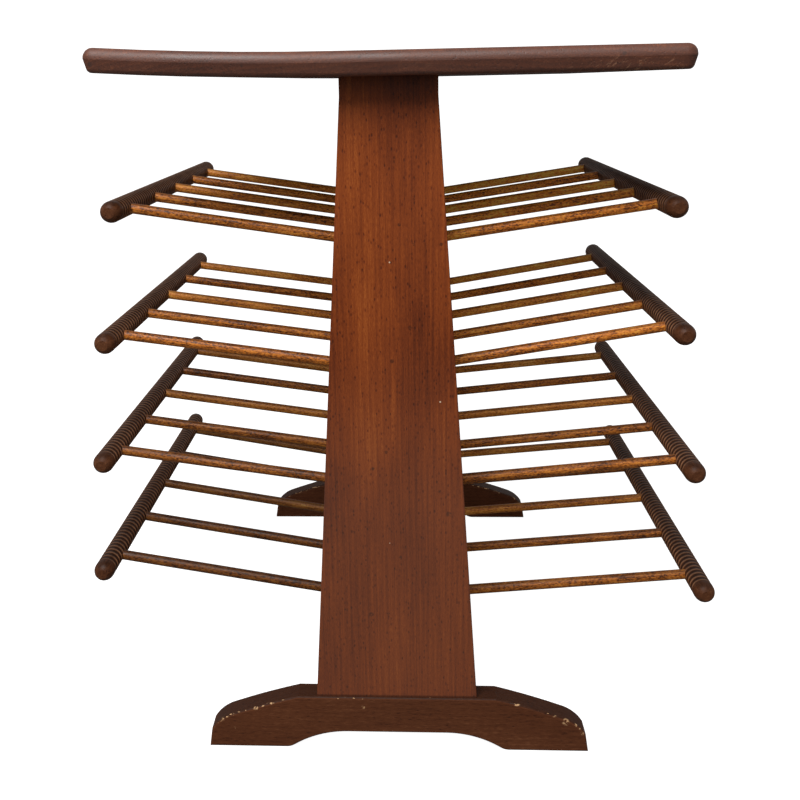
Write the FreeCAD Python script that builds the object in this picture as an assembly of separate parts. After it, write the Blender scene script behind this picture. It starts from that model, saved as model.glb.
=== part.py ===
# A wooden side table with magazine racks. Two tapered uprights stand on two arched feet and carry a
# tabletop, and eight spindle racks, four on each side, are held between the uprights.
# Millimetres. Z is up from the floor, X runs across the table, and -Y is the front.
import FreeCAD, Part
import math
import os

V = FreeCAD.Vector
SIDES = {"left": -1, "right": 1}
ENDS = {"front": -1, "rear": 1}

# Driving dimensions
DEPTH = 460.0            # outer face of one foot to the outer face of the other

FOOT_HEIGHT = 52.0
FOOT_THICK = 20.0
FOOT_HALF = 170.0        # half of a foot's length, at the floor
FOOT_TIP = (167.3, 17.5)         # where the end turns into the rounded shoulder
FOOT_BULGE = (160.9, 25.4)       # the middle of the shoulder
FOOT_SHOULDER = (147.0, 33.5)    # where the shoulder turns into the sloping top
FOOT_FLAT_HALF = 88.0    # half of the level stretch of its top
FOOT_CROWN = 0.8         # how far the sloping top rises above a straight line
PAD_INNER = 100.0        # where each floor pad ends and the arch starts
PAD_LIP_RADIUS = 14.0
ARCH_FLAT_HALF = 44.0
ARCH_RISE = 16.6
FOOT_EASE = 2.0

UPRIGHT_HEIGHT = 538.2
UPRIGHT_THICK = 18.0
UPRIGHT_TOP_HALF = 38.0
UPRIGHT_FOOT_HALF = 71.0
UPRIGHT_NECK = 15.0      # the stretch under the top where the edges are not yet tapered
UPRIGHT_SETBACK = 1.7    # the upright's outer face lies this far inside the foot's
UPRIGHT_EASE = 1.0

TOP_HALF_WIDTH = {"left": 226.6, "right": 223.7}
TOP_OVERHANG = 27.0      # past the feet, at the front and at the back
TOP_THICK = 18.5
TOP_FLAT_HALF = 40.0     # the top is flat over the uprights, and its left end curls up
TOP_CURL = 6.8
TOP_CORNER = 9.0
TOP_UPPER_ROUND = 7.5
TOP_LOWER_ROUND = 4.0
TOP_UNDERCUT = (10.0, 2.8)       # the lower part of the rim slopes inward: its height and its depth
BROAD_SHARE = 0.05       # a face with more than this share of the board's surface isn't part of its rim

TIER_TOP = 452.5         # height of the uppermost rail's axis
TIER_STEP = 112.8
RAIL_RADIUS = 9.0
RAIL_INSET = 12.0        # the rail's axis lies this far inside the upright's edge
TENON_RADIUS = 4.5
TENON_DEPTH = 11.0

BAR_RADIUS = 9.25
BAR_HALF = 187.5         # middle of the bar to the centre of its domed end
BAR_TIP_RADIUS = 4.6     # each dome is cut off by a small flat
RIB_PITCH = 6.0
RIB_CREST = 1.2
RIB_DEPTH = 0.6
RIB_REACH = 183.0        # the ribs stop this far from the middle

ROD_RADIUS = 4.55
RODS = 5
ROD_PITCH = 78.5
ROD_IN_RAIL = 7.0
ROD_IN_BAR = 8.0

# Each rack from the top tier down: its tilt above level in degrees, and the distance along the
# rods from the upright's edge to the bar's axis. The racks have settled a little differently.
RACK_TILT = {"left": (8.8, 7.9, 8.2, 9.8), "right": (8.2, 9.3, 5.7, 5.0)}
RACK_REACH = {"left": (191.5, 199.0, 202.5, 204.5), "right": (189.5, 195.5, 202.5, 210.0)}

BATTEN_LENGTH = 70.0
BATTEN_SECTION = 20.0
SCREW_RADIUS = 2.0
SCREW_HEAD_RADIUS = 4.0
SCREW_HEAD_DEPTH = 2.4
SCREW_LENGTH = 32.0
LEVEL_SCREW_X = 12.0
UPRIGHT_SCREW_X = 26.0

DOWEL_RADIUS = 5.0
DOWEL_LENGTH = 50.0
DOWEL_X = 45.0

# Sizes worked out from them
UPRIGHT_TOP = FOOT_HEIGHT + UPRIGHT_HEIGHT
OUTER_Y = DEPTH / 2 - UPRIGHT_SETBACK     # an upright's outer face
INNER_Y = OUTER_Y - UPRIGHT_THICK         # an upright's inner face


def line(a, b):
    return Part.LineSegment(V(*a), V(*b)).toShape()


def arc(a, middle, b):
    return Part.Arc(V(*a), V(*middle), V(*b)).toShape()


def plate(edges, y, thickness):
    """A board whose outline lies in the XZ plane, from y to y + thickness."""
    outline = Part.Wire(Part.__sortEdges__(edges))
    board = Part.Face(outline).extrude(V(0, thickness, 0))
    board.translate(V(0, y, 0))
    return board


def ease(board, radius, keep=None):
    """The board with a rounding along its outline edges, apart from those that keep chooses."""
    def on_outline(edge):
        lies_in_a_face = edge.BoundBox.YLength < 0.001
        return lies_in_a_face and not (keep and keep(edge.BoundBox))
    return board.makeFillet(radius, [edge for edge in board.Edges if on_outline(edge)])


def half_width(z):
    """Half of an upright's width at height z."""
    neck = UPRIGHT_TOP - UPRIGHT_NECK
    share = max(0.0, (neck - z) / (neck - FOOT_HEIGHT))
    return UPRIGHT_TOP_HALF + (UPRIGHT_FOOT_HALF - UPRIGHT_TOP_HALF) * share


# ---- The stand: feet, uprights and the dowels between them ----

def foot_half_outline(side):
    """One half of a foot's outline, from the middle of its arch to the middle of its top."""
    def at(x, z):
        return (side * x, 0, z)

    # The arch leaves the pad on a small lip arc and meets its level middle on a large one.
    span = PAD_INNER - ARCH_FLAT_HALF
    turn = 2 * math.atan2(ARCH_RISE, span)
    sweep_radius = span / math.sin(turn) - PAD_LIP_RADIUS

    def lip(angle):
        across = PAD_LIP_RADIUS * math.sin(angle)
        return at(PAD_INNER - across, PAD_LIP_RADIUS * (1 - math.cos(angle)))

    def sweep(angle):
        across = sweep_radius * math.sin(angle)
        return at(ARCH_FLAT_HALF + across, ARCH_RISE - sweep_radius * (1 - math.cos(angle)))

    flat_end = at(FOOT_FLAT_HALF, FOOT_HEIGHT)
    crown_x = (FOOT_SHOULDER[0] + FOOT_FLAT_HALF) / 2
    crown = at(crown_x, (FOOT_SHOULDER[1] + FOOT_HEIGHT) / 2 + FOOT_CROWN)
    return [
        line(at(0, ARCH_RISE), sweep(0)),
        arc(sweep(0), sweep(turn / 2), sweep(turn)),
        arc(lip(turn), lip(turn / 2), lip(0)),
        line(lip(0), at(FOOT_HALF, 0)),
        line(at(FOOT_HALF, 0), at(*FOOT_TIP)),
        arc(at(*FOOT_TIP), at(*FOOT_BULGE), at(*FOOT_SHOULDER)),
        arc(at(*FOOT_SHOULDER), crown, flat_end),
        line(flat_end, at(0, FOOT_HEIGHT)),
    ]


def make_foot(end):
    y = DEPTH / 2 - FOOT_THICK if end > 0 else -DEPTH / 2
    foot = plate(foot_half_outline(-1) + foot_half_outline(1), y, FOOT_THICK)
    return ease(foot.removeSplitter(), FOOT_EASE).cut(upright_dowels(end))


def make_upright(end):
    neck = UPRIGHT_TOP - UPRIGHT_NECK
    right = [(UPRIGHT_FOOT_HALF, FOOT_HEIGHT), (UPRIGHT_TOP_HALF, neck), (UPRIGHT_TOP_HALF, UPRIGHT_TOP)]
    corners = right + [(-x, z) for x, z in reversed(right)]
    points = [(x, 0, z) for x, z in corners]
    edges = [line(a, b) for a, b in zip(points, points[1:] + points[:1])]
    y = INNER_Y if end > 0 else -OUTER_Y
    board = plate(edges, y, UPRIGHT_THICK)
    board = ease(board, UPRIGHT_EASE, keep=lambda box: box.ZLength < 0.001)
    holes = [tenon(side, tier, end) for side in SIDES.values() for tier in range(len(RACK_TILT["left"]))]
    return board.cut([upright_dowels(end), *holes, *screws(level_screw_places(end))])


def upright_dowels(end):
    """The two dowels that pin one upright to its foot."""
    y = end * (OUTER_Y - UPRIGHT_THICK / 2)
    start = FOOT_HEIGHT - DOWEL_LENGTH / 2
    pegs = [Part.makeCylinder(DOWEL_RADIUS, DOWEL_LENGTH, V(side * DOWEL_X, y, start)) for side in (-1, 1)]
    return Part.makeCompound(pegs)


# ---- The tabletop and the battens that hold it ----

def curled_face(z):
    """The board's upper or lower face seen from the front: flat, then an arc up to the left end."""
    run = TOP_HALF_WIDTH["left"] - TOP_FLAT_HALF
    radius = (run ** 2 + TOP_CURL ** 2) / (2 * TOP_CURL)
    halfway = math.asin(run / radius) / 2
    start = (-TOP_FLAT_HALF, 0, z)
    middle = (-TOP_FLAT_HALF - radius * math.sin(halfway), 0, z + radius * (1 - math.cos(halfway)))
    tip = (-TOP_HALF_WIDTH["left"], 0, z + TOP_CURL)
    return [line((TOP_HALF_WIDTH["right"], 0, z), start), arc(start, middle, tip)]


def make_tabletop():
    edges = curled_face(UPRIGHT_TOP) + curled_face(UPRIGHT_TOP + TOP_THICK)
    for x, rise in ((-TOP_HALF_WIDTH["left"], TOP_CURL), (TOP_HALF_WIDTH["right"], 0)):
        edges.append(line((x, 0, UPRIGHT_TOP + rise), (x, 0, UPRIGHT_TOP + TOP_THICK + rise)))
    half_length = DEPTH / 2 + TOP_OVERHANG
    board = plate(edges, -half_length, 2 * half_length)
    corners = [edge for edge in board.Edges if is_upright(edge, TOP_THICK)]
    board = board.makeFillet(TOP_CORNER, corners)
    board = board.makeFillet(TOP_UPPER_ROUND, rim_edges(board, upper=True))
    board = board.makeChamfer(*TOP_UNDERCUT, rim_edges(board, upper=False))
    board = board.makeFillet(TOP_LOWER_ROUND, rim_edges(board, upper=False))
    pilots = [screw for end in ENDS.values() for screw in screws(upright_screw_places(end))]
    return board.cut(pilots)


def is_upright(edge, height):
    box = edge.BoundBox
    return abs(box.ZLength - height) < 0.01 and box.XLength < 0.01 and box.YLength < 0.01


def rim_edges(board, upper):
    """The edges around the tabletop's upper or lower face."""
    faces = [face for face in board.Faces if face.Area > BROAD_SHARE * board.Area and is_broad(face, upper)]
    return [edge for face in faces for edge in face.Edges if not is_shared(edge, faces)]


def is_broad(face, upper):
    """Whether a face is part of the tabletop's upper face, or of its lower one."""
    middle = [sum(pair) / 2 for pair in (face.ParameterRange[:2], face.ParameterRange[2:])]
    level = face.normalAt(*middle).z
    return level > 0.9 if upper else level < -0.9


def is_shared(edge, faces):
    return sum(other.isSame(edge) for face in faces for other in face.Edges) > 1


def make_batten(end):
    y = INNER_Y - BATTEN_SECTION if end > 0 else -INNER_Y
    start = V(-BATTEN_LENGTH / 2, y, UPRIGHT_TOP - BATTEN_SECTION)
    block = Part.makeBox(BATTEN_LENGTH, BATTEN_SECTION, BATTEN_SECTION, start)
    return block.cut([*screws(level_screw_places(end)), *screws(upright_screw_places(end))])


def level_screw_places(end):
    """The screws through a batten into its upright: where each head lies, and which way it points."""
    z = UPRIGHT_TOP - BATTEN_SECTION / 2
    y = end * (INNER_Y - BATTEN_SECTION)
    return [(V(side * LEVEL_SCREW_X, y, z), V(0, end, 0)) for side in (-1, 1)]


def upright_screw_places(end):
    """The screws through a batten into the tabletop."""
    y = end * (INNER_Y - BATTEN_SECTION / 2)
    return [(V(side * UPRIGHT_SCREW_X, y, UPRIGHT_TOP - BATTEN_SECTION), V(0, 0, 1)) for side in (-1, 1)]


def screws(places):
    made = []
    for start, direction in places:
        head = Part.makeCone(SCREW_HEAD_RADIUS, SCREW_RADIUS, SCREW_HEAD_DEPTH, start, direction)
        shank = Part.makeCylinder(SCREW_RADIUS, SCREW_LENGTH, start, direction)
        made.append(head.fuse(shank).removeSplitter())
    return made


# ---- The racks: an inner rail, five rods and a ribbed outer bar ----

def rail_axis(side, tier):
    """The middle of a rack's inner rail, about which the rack is tilted."""
    z = TIER_TOP - tier * TIER_STEP
    return V(side * (half_width(z) - RAIL_INSET), 0, z)


def bar_distance(name, tier):
    """From the rail's axis to the outer bar's axis, along the rods."""
    return RAIL_INSET + RACK_REACH[name][tier]


def tenon(side, tier, end):
    """The round tenon turned on one end of a rail."""
    start = rail_axis(side, tier) + V(0, end * INNER_Y, 0)
    return Part.makeCylinder(TENON_RADIUS, TENON_DEPTH, start, V(0, end, 0))


def placed(shape, name, tier):
    """A rack piece that was made level on the right, moved to its place."""
    side = SIDES[name]
    tilted = shape.copy()
    tilted.rotate(V(0, 0, 0), V(0, 1, 0), -RACK_TILT[name][tier])
    if side < 0:
        tilted = tilted.mirror(V(0, 0, 0), V(1, 0, 0))
    tilted.translate(rail_axis(side, tier))
    return tilted


def rod_places():
    return [(index - (RODS - 1) / 2) * ROD_PITCH for index in range(RODS)]


def rods(reach):
    """The rods of a level rack whose rail lies on the origin."""
    start = RAIL_RADIUS - ROD_IN_RAIL
    length = reach - BAR_RADIUS + ROD_IN_BAR - start
    return [Part.makeCylinder(ROD_RADIUS, length, V(start, y, 0), V(1, 0, 0)) for y in rod_places()]


def level_rail(reach):
    rail = Part.makeCylinder(RAIL_RADIUS, 2 * INNER_Y, V(0, -INNER_Y, 0), V(0, 1, 0))
    length = 2 * (INNER_Y + TENON_DEPTH)
    tenons = Part.makeCylinder(TENON_RADIUS, length, V(0, -length / 2, 0), V(0, 1, 0))
    return rail.fuse(tenons).removeSplitter().cut(rods(reach))


def bar_profile():
    """Half of the bar's turned outline, in the XY plane with Y along the bar."""
    tip_angle = math.acos(BAR_TIP_RADIUS / BAR_RADIUS)
    top = BAR_HALF + BAR_RADIUS * math.sin(tip_angle)
    edges = [line((0, -top, 0), (0, top, 0))]
    for end in (-1, 1):
        rise = BAR_RADIUS * math.sin(tip_angle / 2)
        halfway = (BAR_RADIUS * math.cos(tip_angle / 2), end * (BAR_HALF + rise), 0)
        edges.append(line((0, end * top, 0), (BAR_TIP_RADIUS, end * top, 0)))
        edges.append(arc((BAR_TIP_RADIUS, end * top, 0), halfway, (BAR_RADIUS, end * BAR_HALF, 0)))
    # Wide shallow coves between narrow crests
    coves = int(2 * RIB_REACH / RIB_PITCH)
    y = -coves * RIB_PITCH / 2
    edges.append(line((BAR_RADIUS, -BAR_HALF, 0), (BAR_RADIUS, y + RIB_CREST / 2, 0)))
    for index in range(coves):
        low, high = y + RIB_CREST / 2, y + RIB_PITCH - RIB_CREST / 2
        floor = (BAR_RADIUS - RIB_DEPTH, (low + high) / 2, 0)
        edges.append(arc((BAR_RADIUS, low, 0), floor, (BAR_RADIUS, high, 0)))
        y += RIB_PITCH
        crest_end = BAR_HALF if index == coves - 1 else y + RIB_CREST / 2
        edges.append(line((BAR_RADIUS, high, 0), (BAR_RADIUS, crest_end, 0)))
    return Part.Face(Part.Wire(Part.__sortEdges__(edges)))


def level_bar(reach):
    bar = bar_profile().revolve(V(0, 0, 0), V(0, 1, 0), 360)
    bar.translate(V(reach, 0, 0))
    return bar.cut(rods(reach))


def stand_pieces():
    pieces = {"tabletop": make_tabletop()}
    groups = {"foot_dowels": [], "batten_to_upright_screws": [], "batten_to_top_screws": []}
    for name, end in ENDS.items():
        pieces[name + "_foot"] = make_foot(end)
        pieces[name + "_upright"] = make_upright(end)
        pieces[name + "_top_batten"] = make_batten(end)
        groups["foot_dowels"] += upright_dowels(end).Solids
        groups["batten_to_upright_screws"] += screws(level_screw_places(end))
        groups["batten_to_top_screws"] += screws(upright_screw_places(end))
    for name, members in groups.items():
        pieces[name] = Part.makeCompound(members)
    return pieces


def rack_pieces(name, tier):
    reach = bar_distance(name, tier)
    level = {"rail": level_rail(reach), "bar": level_bar(reach), "rods": Part.makeCompound(rods(reach))}
    return {f"{name}_rack_{tier + 1}_{part}": placed(shape, name, tier) for part, shape in level.items()}


def main():
    os.makedirs("parts", exist_ok=True)
    pieces = stand_pieces()
    for name in SIDES:
        for tier in range(len(RACK_TILT[name])):
            pieces.update(rack_pieces(name, tier))

    # The origin lies on the floor under the middle of the whole table. The racks on the right reach
    # a little further out, so the uprights stand slightly to the left of it.
    whole = Part.makeCompound(list(pieces.values())).optimalBoundingBox()
    to_middle = V(-(whole.XMin + whole.XMax) / 2, 0, 0)
    print("uprights stand at x =", round(to_middle.x, 3))
    for name, shape in pieces.items():
        assert shape.isValid(), name
        shape.translate(to_middle)
        shape.exportStep("parts/" + name + ".step")


main()
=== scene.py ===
"""The looks of a side table with magazine racks: worn, stained hardwood in soft studio light."""

import math

import bpy
from mathutils import Matrix, Vector


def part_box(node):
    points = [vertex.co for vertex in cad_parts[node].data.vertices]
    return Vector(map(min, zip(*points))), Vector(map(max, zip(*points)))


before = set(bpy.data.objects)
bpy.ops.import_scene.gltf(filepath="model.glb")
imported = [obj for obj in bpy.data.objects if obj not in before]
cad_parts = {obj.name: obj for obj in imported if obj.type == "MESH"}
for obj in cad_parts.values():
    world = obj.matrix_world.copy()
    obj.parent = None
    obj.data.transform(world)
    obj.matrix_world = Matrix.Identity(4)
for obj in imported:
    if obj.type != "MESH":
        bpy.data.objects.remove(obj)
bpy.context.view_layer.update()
MM = 0.001


# ---- Node graphs ----

def linear(red, green, blue):
    """A colour given as 0 to 255 screen values, as the linear colour that a shader takes."""
    def one(value):
        share = value / 255
        return share / 12.92 if share <= 0.04045 else ((share + 0.055) / 1.055) ** 2.4
    return (one(red), one(green), one(blue), 1.0)


class Graph:
    """A material's node graph, with one short call for each kind of node."""

    def __init__(self, name):
        self.material = bpy.data.materials.new(name)
        self.material.use_nodes = True
        self.tree = self.material.node_tree
        self.tree.nodes.clear()

    def add(self, kind, inputs=(), **settings):
        node = self.tree.nodes.new(kind)
        for key, value in settings.items():
            setattr(node, key, value)
        for key, value in dict(inputs).items():
            if isinstance(value, bpy.types.NodeSocket):
                self.tree.links.new(value, node.inputs[key])
            else:
                node.inputs[key].default_value = value
        return node

    def place(self):
        """The point on the surface in the row frame, in metres."""
        return self.add("ShaderNodeTexCoord").outputs["Object"]

    def math(self, operation, a, b=0.0, c=0.0):
        return self.add("ShaderNodeMath", {0: a, 1: b, 2: c}, operation=operation).outputs[0]

    def vector(self, operation, a, b=(0.0, 0.0, 0.0)):
        node = self.add("ShaderNodeVectorMath", {0: a, 1: b}, operation=operation)
        return node.outputs["Value" if operation in ("LENGTH", "DISTANCE") else "Vector"]

    def turn(self, vector, angles):
        return self.add("ShaderNodeMapping", {"Vector": vector, "Rotation": angles}).outputs[0]

    def parts(self, vector):
        return self.add("ShaderNodeSeparateXYZ", {0: vector}).outputs

    def noise(self, vector, scale, detail=2.0, rough=0.5, distortion=0.0):
        wanted = {"Vector": vector, "Scale": scale, "Detail": detail, "Roughness": rough,
                  "Distortion": distortion}
        return self.add("ShaderNodeTexNoise", wanted).outputs["Fac"]

    def cells(self, vector, scale):
        """Distance to the nearest of many scattered points, and a random number for that point."""
        node = self.add("ShaderNodeTexVoronoi", {"Vector": vector, "Scale": scale})
        return node.outputs["Distance"], self.parts(node.outputs["Color"])["X"]

    def band(self, value, low, high, to_low=0.0, to_high=1.0):
        """value from low to high becomes to_low to to_high, eased at both ends."""
        wanted = {"Value": value, "From Min": low, "From Max": high, "To Min": to_low, "To Max": to_high}
        return self.add("ShaderNodeMapRange", wanted, interpolation_type="SMOOTHSTEP").outputs[0]

    def ramp(self, value, stops):
        node = self.add("ShaderNodeValToRGB", {0: value})
        elements = node.color_ramp.elements
        while len(elements) < len(stops):
            elements.new(0.5)
        for element, (position, colour) in zip(elements, stops):
            element.position = position
            element.color = colour
        return node.outputs[0]

    def mix(self, share, a, b):
        return self.add("ShaderNodeMix", {0: share, 6: a, 7: b}, data_type="RGBA").outputs[2]

    def finish(self, colour, rough, height, depth, **constants):
        """The shader, with bump from a height of 0 to 1 that is depth metres deep."""
        bump = self.add("ShaderNodeBump", {"Height": height, "Distance": depth, "Strength": 1.0})
        inputs = {"Base Color": colour, "Roughness": rough, "Normal": bump.outputs[0]}
        for key, value in constants.items():
            inputs[key.replace("_", " ")] = value
        shader = self.add("ShaderNodeBsdfPrincipled", inputs)
        self.add("ShaderNodeOutputMaterial", {"Surface": shader.outputs[0]})
        return self.material


# ---- Wood ----

GRAIN_DEPTH = 0.3 * MM
BEND_LONG, FIBRE_LONG, CLOUD_LONG, PORE_LONG = 5, 5, 2.4, 2.2       # times as long as wide
BEND_SCALE = 14.0        # noise scales are waves to the metre
FIBRE_FINER = 2.1        # times as fine as the streaks
EMPTY_CELLS = 0.6        # the share of cells that hold no pore
LATE_MIDDLE = 0.45       # as much late wood as leaves the tone unchanged

# The turn that lays the grain, which runs along the graph's own Z, on an axis of the row frame
ALONG = {"x": (0, math.radians(-90), 0), "y": (math.radians(90), 0, 0), "z": (0, 0, 0)}


def stretch(graph, grain, factor):
    """The grain's own coordinates with features that are factor times as long as they are wide."""
    return graph.vector("MULTIPLY", grain, (1.0, 1.0, 1.0 / factor))


def offset(graph, value, middle, gain, onto):
    """onto, plus gain times how far value lies from its middle."""
    return graph.math("MULTIPLY_ADD", graph.math("SUBTRACT", value, middle), gain, onto)


def year_rings(graph, grain, heart, ring, bend_rings):
    """Where the dark late wood is: rings about the heart line, bent by noise that is slow along the grain."""
    bend = graph.noise(stretch(graph, grain, BEND_LONG), BEND_SCALE)
    across = graph.vector("SUBTRACT", graph.vector("MULTIPLY", grain, (1, 1, 0)), (*heart, 0))
    radius = graph.vector("LENGTH", across)
    bent = graph.math("MULTIPLY_ADD", radius, 1 / ring, graph.math("MULTIPLY", bend, bend_rings))
    year = graph.math("FRACT", bent)
    return graph.math("MULTIPLY", graph.band(year, 0.0, 0.75), graph.band(year, 1.0, 0.9))


def pores(graph, grain, size):
    """Short dark dashes along the grain, in the few cells that have one."""
    distance, chance = graph.cells(stretch(graph, grain, PORE_LONG), 1 / size)
    return graph.math("MULTIPLY", graph.band(distance, 0.5, 0.1), graph.band(chance, EMPTY_CELLS, 1.0))


def wood(name, angles, colours, heart=(0.6, 0.05), ring=0.0046, ring_share=0.1, bend_rings=1.2,
         streak=0.0024, streak_long=20, streak_share=0.6, fibre_share=1.3, blotch=0.07, blotch_share=0.8,
         fleck=0.35, fleck_size=0.0019, rough=(0.42, 0.6), specular=0.25, marks=None):
    """Stained wood: growth rings about a far heart, long streaks, fine fibre, dark pores and soft blotches.

    colours run from the darkest to the lightest streak. Lengths are metres across the grain, and shares
    say how strongly each feature moves the tone. marks(graph, place, tone) gives the tone back with what
    one part alone has, and a list of paint over it, as (share, colour).
    """
    graph = Graph(name)
    place = graph.place()
    grain = graph.turn(place, angles)
    late = year_rings(graph, grain, heart, ring, bend_rings)
    streaks = graph.noise(stretch(graph, grain, streak_long), 1 / streak, 3.0, 0.6)
    fibre = graph.noise(stretch(graph, grain, FIBRE_LONG), FIBRE_FINER / streak, 3.0, 0.75)
    cloud = graph.noise(stretch(graph, grain, CLOUD_LONG), 1 / blotch, 3.0, 0.55)
    pore = pores(graph, grain, fleck_size)

    tone = offset(graph, streaks, 0.5, streak_share, 0.5)
    tone = offset(graph, late, LATE_MIDDLE, -ring_share, tone)
    tone = offset(graph, fibre, 0.5, fibre_share, tone)
    tone = offset(graph, cloud, 0.5, blotch_share, tone)
    tone = graph.math("MULTIPLY_ADD", pore, -fleck, tone)
    tone, paint = marks(graph, place, tone) if marks else (tone, [])
    colour = graph.ramp(tone, [(index / (len(colours) - 1), stop) for index, stop in enumerate(colours)])
    for share, tint in paint:
        colour = graph.mix(share, colour, tint)

    dullness = graph.math("MULTIPLY_ADD", cloud, 0.6, graph.math("MULTIPLY", fibre, 0.4))
    gloss = graph.band(dullness, 0.35, 0.65, *rough)
    height = graph.math("MULTIPLY_ADD", fibre, 0.5, graph.math("MULTIPLY", streaks, 0.3))
    height = graph.math("MULTIPLY_ADD", pore, -0.4, height)
    return graph.finish(colour, gloss, height, GRAIN_DEPTH, Specular_IOR_Level=specular)


def facing(graph):
    """The way the surface faces, in the row frame, as its three parts."""
    return graph.parts(graph.add("ShaderNodeNewGeometry").outputs["Normal"])


# From the darkest to the lightest streak
PLANK = [linear(74, 30, 10), linear(112, 48, 15), linear(142, 66, 21), linear(176, 94, 36)]
BOARD = [linear(56, 24, 8), linear(82, 37, 14), linear(96, 46, 20), linear(126, 68, 34)]
FOOT = [linear(52, 27, 16), linear(90, 49, 28), linear(102, 58, 34), linear(128, 80, 52)]
BAR = [linear(46, 23, 11), linear(82, 46, 26), linear(98, 58, 34), linear(130, 84, 54)]
ROD = [linear(84, 41, 12), linear(190, 109, 36), linear(238, 157, 64), linear(255, 214, 132)]
RAIL = [linear(62, 34, 20), linear(88, 50, 30), linear(104, 62, 38), linear(124, 78, 50)]
BATTEN = [linear(96, 62, 36), linear(128, 86, 52), linear(150, 104, 66), linear(172, 124, 82)]
DOWEL = [linear(168, 124, 80), linear(196, 152, 104), linear(212, 172, 124), linear(228, 192, 146)]

# Painted light and shade: how light the rods of each tier are, from the top down, set so that each tier
# stands in for how much of the lamp reaches it
ROD_PAINTED_LIGHT = {"left": (1.15, 1.1, 0.62, 0.34), "right": (1.7, 1.4, 0.9, 0.8)}
# A dark brown for dirt in knots and dents, and for painted shade and shadow
GRIME_AND_SHADE = linear(26, 14, 9)
RUBBED = linear(178, 128, 94)
# Painted reflection of the pale floor, a greyish veil on the lower upright
FLOOR_REFLECTION = linear(116, 86, 72)
BARE_WOOD = linear(204, 162, 118)
PAINT_FLECK = linear(226, 200, 170)

# How much of each paint covers its place, painted shadow, shade and floor reflection among them, and how far
# each mark moves the tone
PAINTED = {"knot": 0.6, "shadow": 0.45, "joint_shade": 0.6, "floor_reflection": 0.26, "foot_top_shade": 0.65, "cove": 0.6,
           "bar_top_shade": 0.6, "rod_top": 0.5, "scuff": 0.5, "dent": 0.5}
SHIFTED = {"warm": 0.17, "dark": -0.12, "cloud": -0.1, "rod": 0.3, "speck": -0.26}

# Spots, as (across, height, radius) in millimetres from the lower left front corner of their part
DARK_CLOUDS = ((98, 315, 56), (14, 205, 30))
KNOTS = ((50, 82, 2.8), (65, 83, 1.6), (65, 233, 1.8), (76, 137, 1.8), (54, 218, 2), (109, 198, 1.8),
         (117, 177, 3.2), (78, 424, 1.8), (86, 340, 2.4), (71, 312, 2.2), (111, 408, 1.8), (89, 408, 1.5))
PAINT_FLECKS = ((70, 394, 0.8), (110, 277, 0.9), (67, 150, 0.5))
DEEP_CHIPS = ((11, 29, 4.5), (319, 30, 4), (140, 42.5, 2.2), (334, 19, 2), (44, 40, 2.4), (24, 20, 1.4))
DENTS = ((396, 12, 2), (120, 9, 1.4), (14, 8, 3), (7, 12, 3), (206, 14, 1.6))

# On the front upright. Where two heights are given, a mark grows from the first to the second.
STAIN_RIGHT = 20 * MM                       # the stain's middle line, from the board's
STAIN_WANDER = 40 * MM
WARM_LEFT, WARM_HALF = 24 * MM, 30 * MM     # from the stain's middle line, and half its width
DARK_RIGHT, DARK_HALF = 22 * MM, 24 * MM
WARM_UP = (120 * MM, 330 * MM)
# The painted reflection of the floor, greyer towards the bottom
FLOOR_REFLECTION_UP = (350 * MM, 160 * MM)
# The dark joint line with painted contact shade, up from the foot
JOINT_SHADE_UP = (3 * MM, 0.8 * MM)
# How far down from the top the painted shadow of the tabletop reaches
SHADOW_DOWN = 24 * MM

# On the feet. Chips are fewer near the middle, and in full number from the second distance on.
SHOULDER = (70 * MM, 110 * MM)
CHIPS_FEWER = -0.1
CHIPS_VARY = 0.3

# On the bars and rods. The edges are in rib pitches from a crest.
RIB_PITCH = 6.0 * MM
RIB_CREST = 1.2 * MM
LAST_CREST = 183 * MM
CREST_EDGE = (0.2, 0.1)
COVE_EDGE = (0.16, 0.34)
ROD_PITCH = 78.5 * MM
ROD_DIAMETER = 9.1 * MM

# On the tabletop
SCUFF_AT = (34 * MM, 6 * MM)                # in from the right end, and up from the lower face
SCUFF_REACH = (80 * MM, 10 * MM)            # from there, to where scuffs are rare, and where they are most
SCUFF_UP = (13 * MM, 7 * MM)
SCRATCH_SLANT = math.radians(-50)
SCRATCH_LONG = 5


def spots(graph, place, origin, marks):
    """Round soft spots on a front face, measured from origin."""
    total = None
    for across, up, radius in marks:
        centre = (origin.x + across * MM, origin.y, origin.z + up * MM)
        spot = graph.band(graph.vector("DISTANCE", place, centre), radius * MM, 0.5 * radius * MM)
        total = spot if total is None else graph.math("MAXIMUM", total, spot)
    return total


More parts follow.
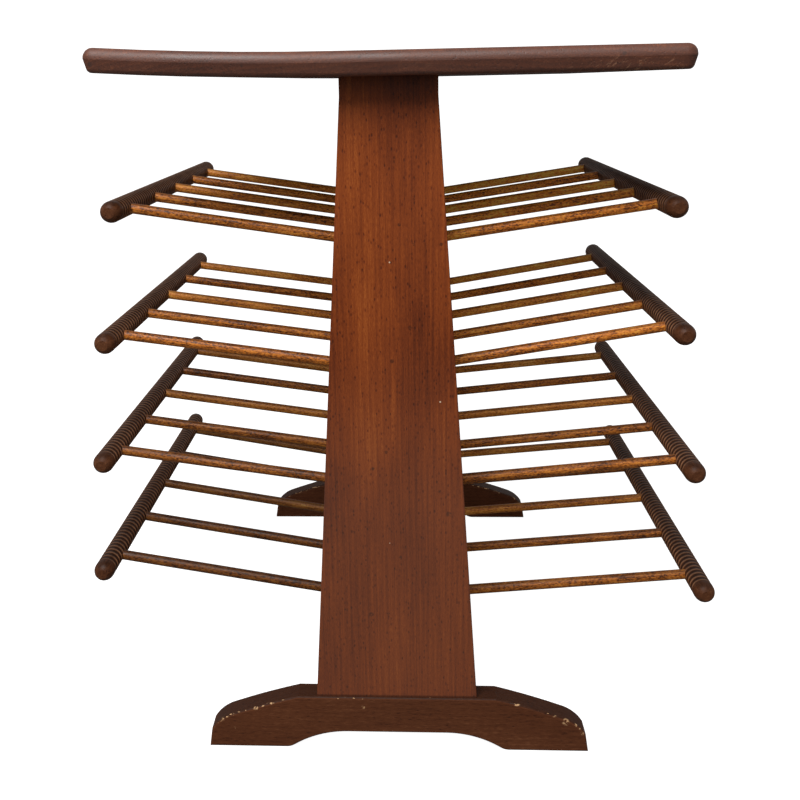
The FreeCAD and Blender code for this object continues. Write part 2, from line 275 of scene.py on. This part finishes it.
def plank_marks(graph, place, tone):
    """A painted shadow of the tabletop at the top end, a dark joint line with painted contact shade at the
    foot, a warm strip, a darker one to its right, a painted reflection of the floor towards the bottom, knots
    and stray flecks of paint.
    """
    low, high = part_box("front_upright")
    at = graph.parts(place)
    wander = graph.math("MULTIPLY", graph.noise(stretch(graph, place, 3), 9.0, 1.0), STAIN_WANDER)
    across = graph.math("ADD", graph.math("SUBTRACT", at["X"], (low.x + high.x) / 2 + STAIN_RIGHT), wander)
    warm = graph.band(graph.math("ABSOLUTE", graph.math("ADD", across, WARM_LEFT)), WARM_HALF, 0.0)
    warm = graph.math("MULTIPLY", warm, graph.band(at["Z"], *(low.z + up for up in WARM_UP)))
    dark = graph.band(graph.math("ABSOLUTE", graph.math("SUBTRACT", across, DARK_RIGHT)), DARK_HALF, 0.0)
    tone = graph.math("MULTIPLY_ADD", warm, SHIFTED["warm"], tone)
    tone = graph.math("MULTIPLY_ADD", dark, SHIFTED["dark"], tone)
    tone = graph.math("MULTIPLY_ADD", spots(graph, place, low, DARK_CLOUDS), SHIFTED["cloud"], tone)
    ragged = graph.band(graph.noise(place, 480.0, 3.0, 0.7), 0.38, 0.52)
    knots = graph.math("MULTIPLY", spots(graph, place, low, KNOTS), ragged)
    knots = graph.math("MULTIPLY", knots, PAINTED["knot"])
    # Painted shadow of the tabletop across the upright's top
    shadow = graph.band(at["Z"], high.z - SHADOW_DOWN, high.z, 0.0, PAINTED["shadow"])
    # A dark joint line with painted contact shade where the upright meets the foot
    joint_shade = graph.band(at["Z"], *(low.z + up for up in JOINT_SHADE_UP), 0.0, PAINTED["joint_shade"])
    # Painted reflection of the pale floor: greyer towards the bottom
    floor_reflection = graph.band(at["Z"], *(low.z + up for up in FLOOR_REFLECTION_UP), 0.0, PAINTED["floor_reflection"])
    flecks = spots(graph, place, low, PAINT_FLECKS)
    return tone, [(knots, GRIME_AND_SHADE), (shadow, GRIME_AND_SHADE), (floor_reflection, FLOOR_REFLECTION), (joint_shade, GRIME_AND_SHADE), (flecks, PAINT_FLECK)]


def foot_marks(graph, place, tone):
    """Chips where the stain has come off the edges, a few deeper ones, and painted shade on what faces up."""
    low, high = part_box("front_foot")
    face = facing(graph)
    sideways = graph.math("ABSOLUTE", face["Y"])
    rounded = graph.math("MULTIPLY", graph.band(sideways, 0.985, 0.9), graph.band(sideways, 0.1, 0.3))
    edge = graph.math("MULTIPLY", rounded, graph.band(face["Z"], 0.05, 0.2))
    from_middle = graph.math("SUBTRACT", graph.parts(place)["X"], (low.x + high.x) / 2)
    slope = graph.band(graph.math("ABSOLUTE", from_middle), *SHOULDER, CHIPS_FEWER, 0.0)
    chips = graph.noise(stretch(graph, graph.turn(place, ALONG["x"]), 2), 420.0, 2.0, 0.6)
    worn = offset(graph, graph.noise(place, 22.0, 1.0), 0.5, CHIPS_VARY, chips)
    share = graph.math("ADD", worn, slope)
    chipped = graph.math("MULTIPLY", graph.band(share, 0.6, 0.64), edge)
    ragged = graph.noise(place, 500.0, 3.0, 0.7)
    deep = graph.math("MULTIPLY", spots(graph, place, low, DEEP_CHIPS), graph.band(ragged, 0.51, 0.56))
    # Painted shade: what faces up is darker, where the racks and the tabletop above keep the light off
    darker_top = graph.band(face["Z"], 0.3, 0.8, 0.0, PAINTED["foot_top_shade"])
    return tone, [(darker_top, GRIME_AND_SHADE), (graph.math("MAXIMUM", chipped, deep), BARE_WOOD)]


def bar_marks(graph, place, tone):
    """Ribs whose crests are rubbed lighter, darker coves, and painted shade on the upper side."""
    along = graph.parts(place)["Y"]
    turn = graph.math("FRACT", graph.math("DIVIDE", along, RIB_PITCH))
    step = graph.math("ABSOLUTE", graph.math("SUBTRACT", turn, 0.5))
    ribbed = graph.band(graph.math("ABSOLUTE", along), LAST_CREST + RIB_CREST, LAST_CREST)
    rub = graph.band(graph.noise(place, 60.0, 3.0), 0.25, 0.6, 0.35, 0.75)
    light = graph.math("MULTIPLY", graph.band(step, *CREST_EDGE), rub)
    dark = graph.band(step, *COVE_EDGE, 0.0, PAINTED["cove"])
    # Painted shade: the bars' upper sides are darker, where the tabletop above keeps the light off
    upper_shade = graph.band(facing(graph)["Z"], 0.35, 0.9, 0.0, PAINTED["bar_top_shade"])
    return tone, [(graph.math("MULTIPLY", dark, ribbed), GRIME_AND_SHADE),
                  (graph.math("MULTIPLY", light, ribbed), RUBBED), (upper_shade, GRIME_AND_SHADE)]


def rod_marks(graph, place, tone):
    """Each rod has a tone of its own and dark specks, and is darker along its top."""
    index = graph.math("ROUND", graph.math("DIVIDE", graph.parts(place)["Y"], ROD_PITCH))
    own = graph.add("ShaderNodeTexWhiteNoise", {"W": index}, noise_dimensions="1D").outputs["Value"]
    tone = offset(graph, own, 0.5, SHIFTED["rod"], tone)
    specks = graph.noise(graph.vector("MULTIPLY", place, (0.45, 1.0, 1.0)), 850.0, 2.0, 0.7)
    tone = graph.math("MULTIPLY_ADD", graph.band(specks, 0.56, 0.4), SHIFTED["speck"], tone)
    # The rods are darker along their tops
    darker_top = graph.band(facing(graph)["Z"], 0.6, 0.85, 0.0, PAINTED["rod_top"])
    return tone, [(darker_top, GRIME_AND_SHADE)]


def board_marks(graph, place, tone):
    """Scuffs along the rim, most of all near the front right corner, and a few dents."""
    low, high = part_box("tabletop")
    corner = (high.x - SCUFF_AT[0], low.y, low.z + SCUFF_AT[1])
    near = graph.band(graph.vector("DISTANCE", place, corner), *SCUFF_REACH, 0.1, 1.0)
    slanted = stretch(graph, graph.turn(place, (0, SCRATCH_SLANT, 0)), SCRATCH_LONG)
    scratches = graph.noise(slanted, 420.0, 3.0, 0.7, 0.6)
    scuff = graph.math("MULTIPLY", graph.band(scratches, 0.57, 0.64), near)
    rim = graph.band(graph.parts(place)["Z"], *(low.z + up for up in SCUFF_UP))
    scuff = graph.math("MULTIPLY", graph.math("MULTIPLY", scuff, rim), PAINTED["scuff"])
    dents = graph.math("MULTIPLY", spots(graph, place, low, DENTS), PAINTED["dent"])
    return tone, [(dents, GRIME_AND_SHADE), (scuff, RUBBED)]


def steel(name):
    """Plain zinc-plated steel, a little dulled, with fine scratches and spots of tarnish."""
    graph = Graph(name)
    place = graph.place()
    tarnish = graph.noise(place, 260.0, 3.0, 0.6)
    scratch = graph.noise(stretch(graph, place, 0.1), 900.0, 3.0, 0.7)
    colour = graph.ramp(tarnish, [(0.3, linear(112, 106, 98)), (0.55, linear(166, 163, 158)),
                                  (0.8, linear(188, 187, 184))])
    gloss = graph.band(tarnish, 0.35, 0.7, 0.5, 0.3)
    return graph.finish(colour, gloss, scratch, 0.05 * MM, Metallic=1.0)


def rack_tilt(node):
    """How far a rack's rods climb from its rail to its bar, as an angle, from the rods' box."""
    low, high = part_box(node)
    return math.atan2(high.z - low.z - ROD_DIAMETER, high.x - low.x)


def rod_wood(node):
    """The wood of one rack's rods, its grain laid along their slope."""
    side, tier = node.split("_")[0], int(node.split("_")[2])
    lean = rack_tilt(node) if side == "right" else -rack_tilt(node)
    # Painted light and shade: each tier's rods are lighter or darker to stand in for how much of the lamp
    # reaches that tier
    share = ROD_PAINTED_LIGHT[side][tier - 1]
    rods = [tuple(min(0.95, part * share) for part in colour[:3]) + (1.0,) for colour in ROD]
    return wood("rod_" + node, (0, math.radians(-90) + lean, 0), rods, streak=0.0016, streak_long=8,
                streak_share=0.9, fibre_share=0.7, blotch=0.02, blotch_share=0.7, fleck=0.3,
                fleck_size=0.0016, rough=(0.34, 0.55), specular=0.3, marks=rod_marks)


def dress_frame():
    looks = {
        "top_wood": wood("board", ALONG["y"], BOARD, heart=(0.05, 0.9), ring_share=0.2, bend_rings=3.0,
                         streak_long=14, fleck=0.2, rough=(0.5, 0.62), specular=0.8, marks=board_marks),
        "upright_wood": wood("plank", ALONG["z"], PLANK, streak=0.0017, streak_long=36, streak_share=0.8,
                             fibre_share=0.9, fleck=0.45, marks=plank_marks),
        "foot_wood": wood("foot", ALONG["x"], FOOT, streak_long=12, fleck=0.25, specular=0.15,
                          marks=foot_marks),
        "bar_wood": wood("bar", ALONG["y"], BAR, specular=0.16, rough=(0.4, 0.55), marks=bar_marks),
        "rail_wood": wood("rail", ALONG["y"], RAIL),
        "batten_wood": wood("batten", ALONG["x"], BATTEN),
        "dowel_wood": wood("dowel", ALONG["z"], DOWEL),
        "screw_steel": steel("screw"),
    }
    for name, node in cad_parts.items():
        slot = node.material_slots[0]
        key = slot.material.name.split(".")[0]
        slot.material = rod_wood(name) if key == "rod_wood" else looks[key]


# ---- Stage, light and camera ----

FLOOR_HALF = 20.0
FLOOR_PALE = 0.5         # what the camera sees, together with the glow
FLOOR_GLOW = 0.95
FLOOR_DIM = 0.2          # what the object is lit by
STUDIO_SEEN = 1.2
STUDIO_ON_OBJECT = 0.4
KEY_AT = (-0.45, -1.15, 1.86)
KEY_AIM = (0, 0, 0.3)
KEY_SIZE = (1.0, 0.9)
KEY_POWER = 32


def make_stage():
    """A plain floor that looks near white, and that lights the object more dimly than it looks."""
    side = FLOOR_HALF
    mesh = bpy.data.meshes.new("floor")
    corners = [(-side, -side, 0), (side, -side, 0), (side, side, 0), (-side, side, 0)]
    mesh.from_pydata(corners, [], [(0, 1, 2, 3)])
    floor = bpy.data.objects.new("floor", mesh)
    bpy.context.scene.collection.objects.link(floor)
    graph = Graph("floor")
    dim = graph.add("ShaderNodeBsdfDiffuse", {"Color": (FLOOR_DIM, FLOOR_DIM, FLOOR_DIM, 1)})
    pale = graph.add("ShaderNodeBsdfDiffuse", {"Color": (FLOOR_PALE, FLOOR_PALE, FLOOR_PALE, 1)})
    glow = graph.add("ShaderNodeEmission", {"Strength": FLOOR_GLOW})
    seen = graph.add("ShaderNodeAddShader", {0: pale.outputs[0], 1: glow.outputs[0]})
    ray = graph.add("ShaderNodeLightPath").outputs["Is Camera Ray"]
    both = graph.add("ShaderNodeMixShader", {0: ray, 1: dim.outputs[0], 2: seen.outputs[0]})
    graph.add("ShaderNodeOutputMaterial", {"Surface": both.outputs[0]})
    mesh.materials.append(graph.material)


def area_light(name, at, aim, size, power):
    lamp = bpy.data.lights.new(name, "AREA")
    lamp.shape = "RECTANGLE"
    lamp.size, lamp.size_y = size
    lamp.energy = power
    light = bpy.data.objects.new(name, lamp)
    light.location = at
    light.rotation_mode = "QUATERNION"
    light.rotation_quaternion = (Vector(aim) - Vector(at)).to_track_quat("-Z", "Y")
    bpy.context.scene.collection.objects.link(light)


def make_light():
    """A white surround that looks brighter than it shines on the object, and one soft lamp."""
    world = bpy.data.worlds.new("studio")
    world.use_nodes = True
    tree = world.node_tree
    background = tree.nodes["Background"]
    background.inputs["Color"].default_value = (1, 1, 1, 1)
    ray = tree.nodes.new("ShaderNodeLightPath")
    strength = tree.nodes.new("ShaderNodeMapRange")
    strength.inputs["To Min"].default_value = STUDIO_ON_OBJECT
    strength.inputs["To Max"].default_value = STUDIO_SEEN
    tree.links.new(ray.outputs["Is Camera Ray"], strength.inputs["Value"])
    tree.links.new(strength.outputs[0], background.inputs["Strength"])
    bpy.context.scene.world = world
    bpy.context.scene.view_settings.view_transform = "Standard"
    area_light("key", KEY_AT, KEY_AIM, KEY_SIZE, KEY_POWER)


CAMERA_AT = (0.00717, -0.92815, 0.5868)
CAMERA_YAW = -2.96       # degrees; below zero looks to the left of straight on
CAMERA_PITCH = 12.66     # degrees below level
CAMERA_ROLL = -1.22      # degrees
LENS = 40.5              # millimetres
SENSOR = 36.0
SHIFT = (0.0506, -0.1461)


def make_camera():
    yaw, pitch, roll = (math.radians(angle) for angle in (CAMERA_YAW, CAMERA_PITCH, CAMERA_ROLL))
    ahead = Vector((math.sin(yaw) * math.cos(pitch), math.cos(yaw) * math.cos(pitch), -math.sin(pitch)))
    level = Vector((math.cos(yaw), -math.sin(yaw), 0))
    upward = level.cross(ahead)
    right = math.cos(roll) * level + math.sin(roll) * upward
    top = math.cos(roll) * upward - math.sin(roll) * level
    data = bpy.data.cameras.new("camera")
    data.lens = LENS
    data.sensor_width = SENSOR
    data.shift_x, data.shift_y = SHIFT
    data.clip_start, data.clip_end = 0.05, 100
    camera = bpy.data.objects.new("camera", data)
    axes = Matrix((right, top, -ahead)).transposed()
    camera.matrix_world = Matrix.Translation(CAMERA_AT) @ axes.to_4x4()
    bpy.context.scene.collection.objects.link(camera)
    bpy.context.scene.camera = camera


dress_frame()
make_stage()
make_light()
make_camera()

bpy.context.view_layer.update()
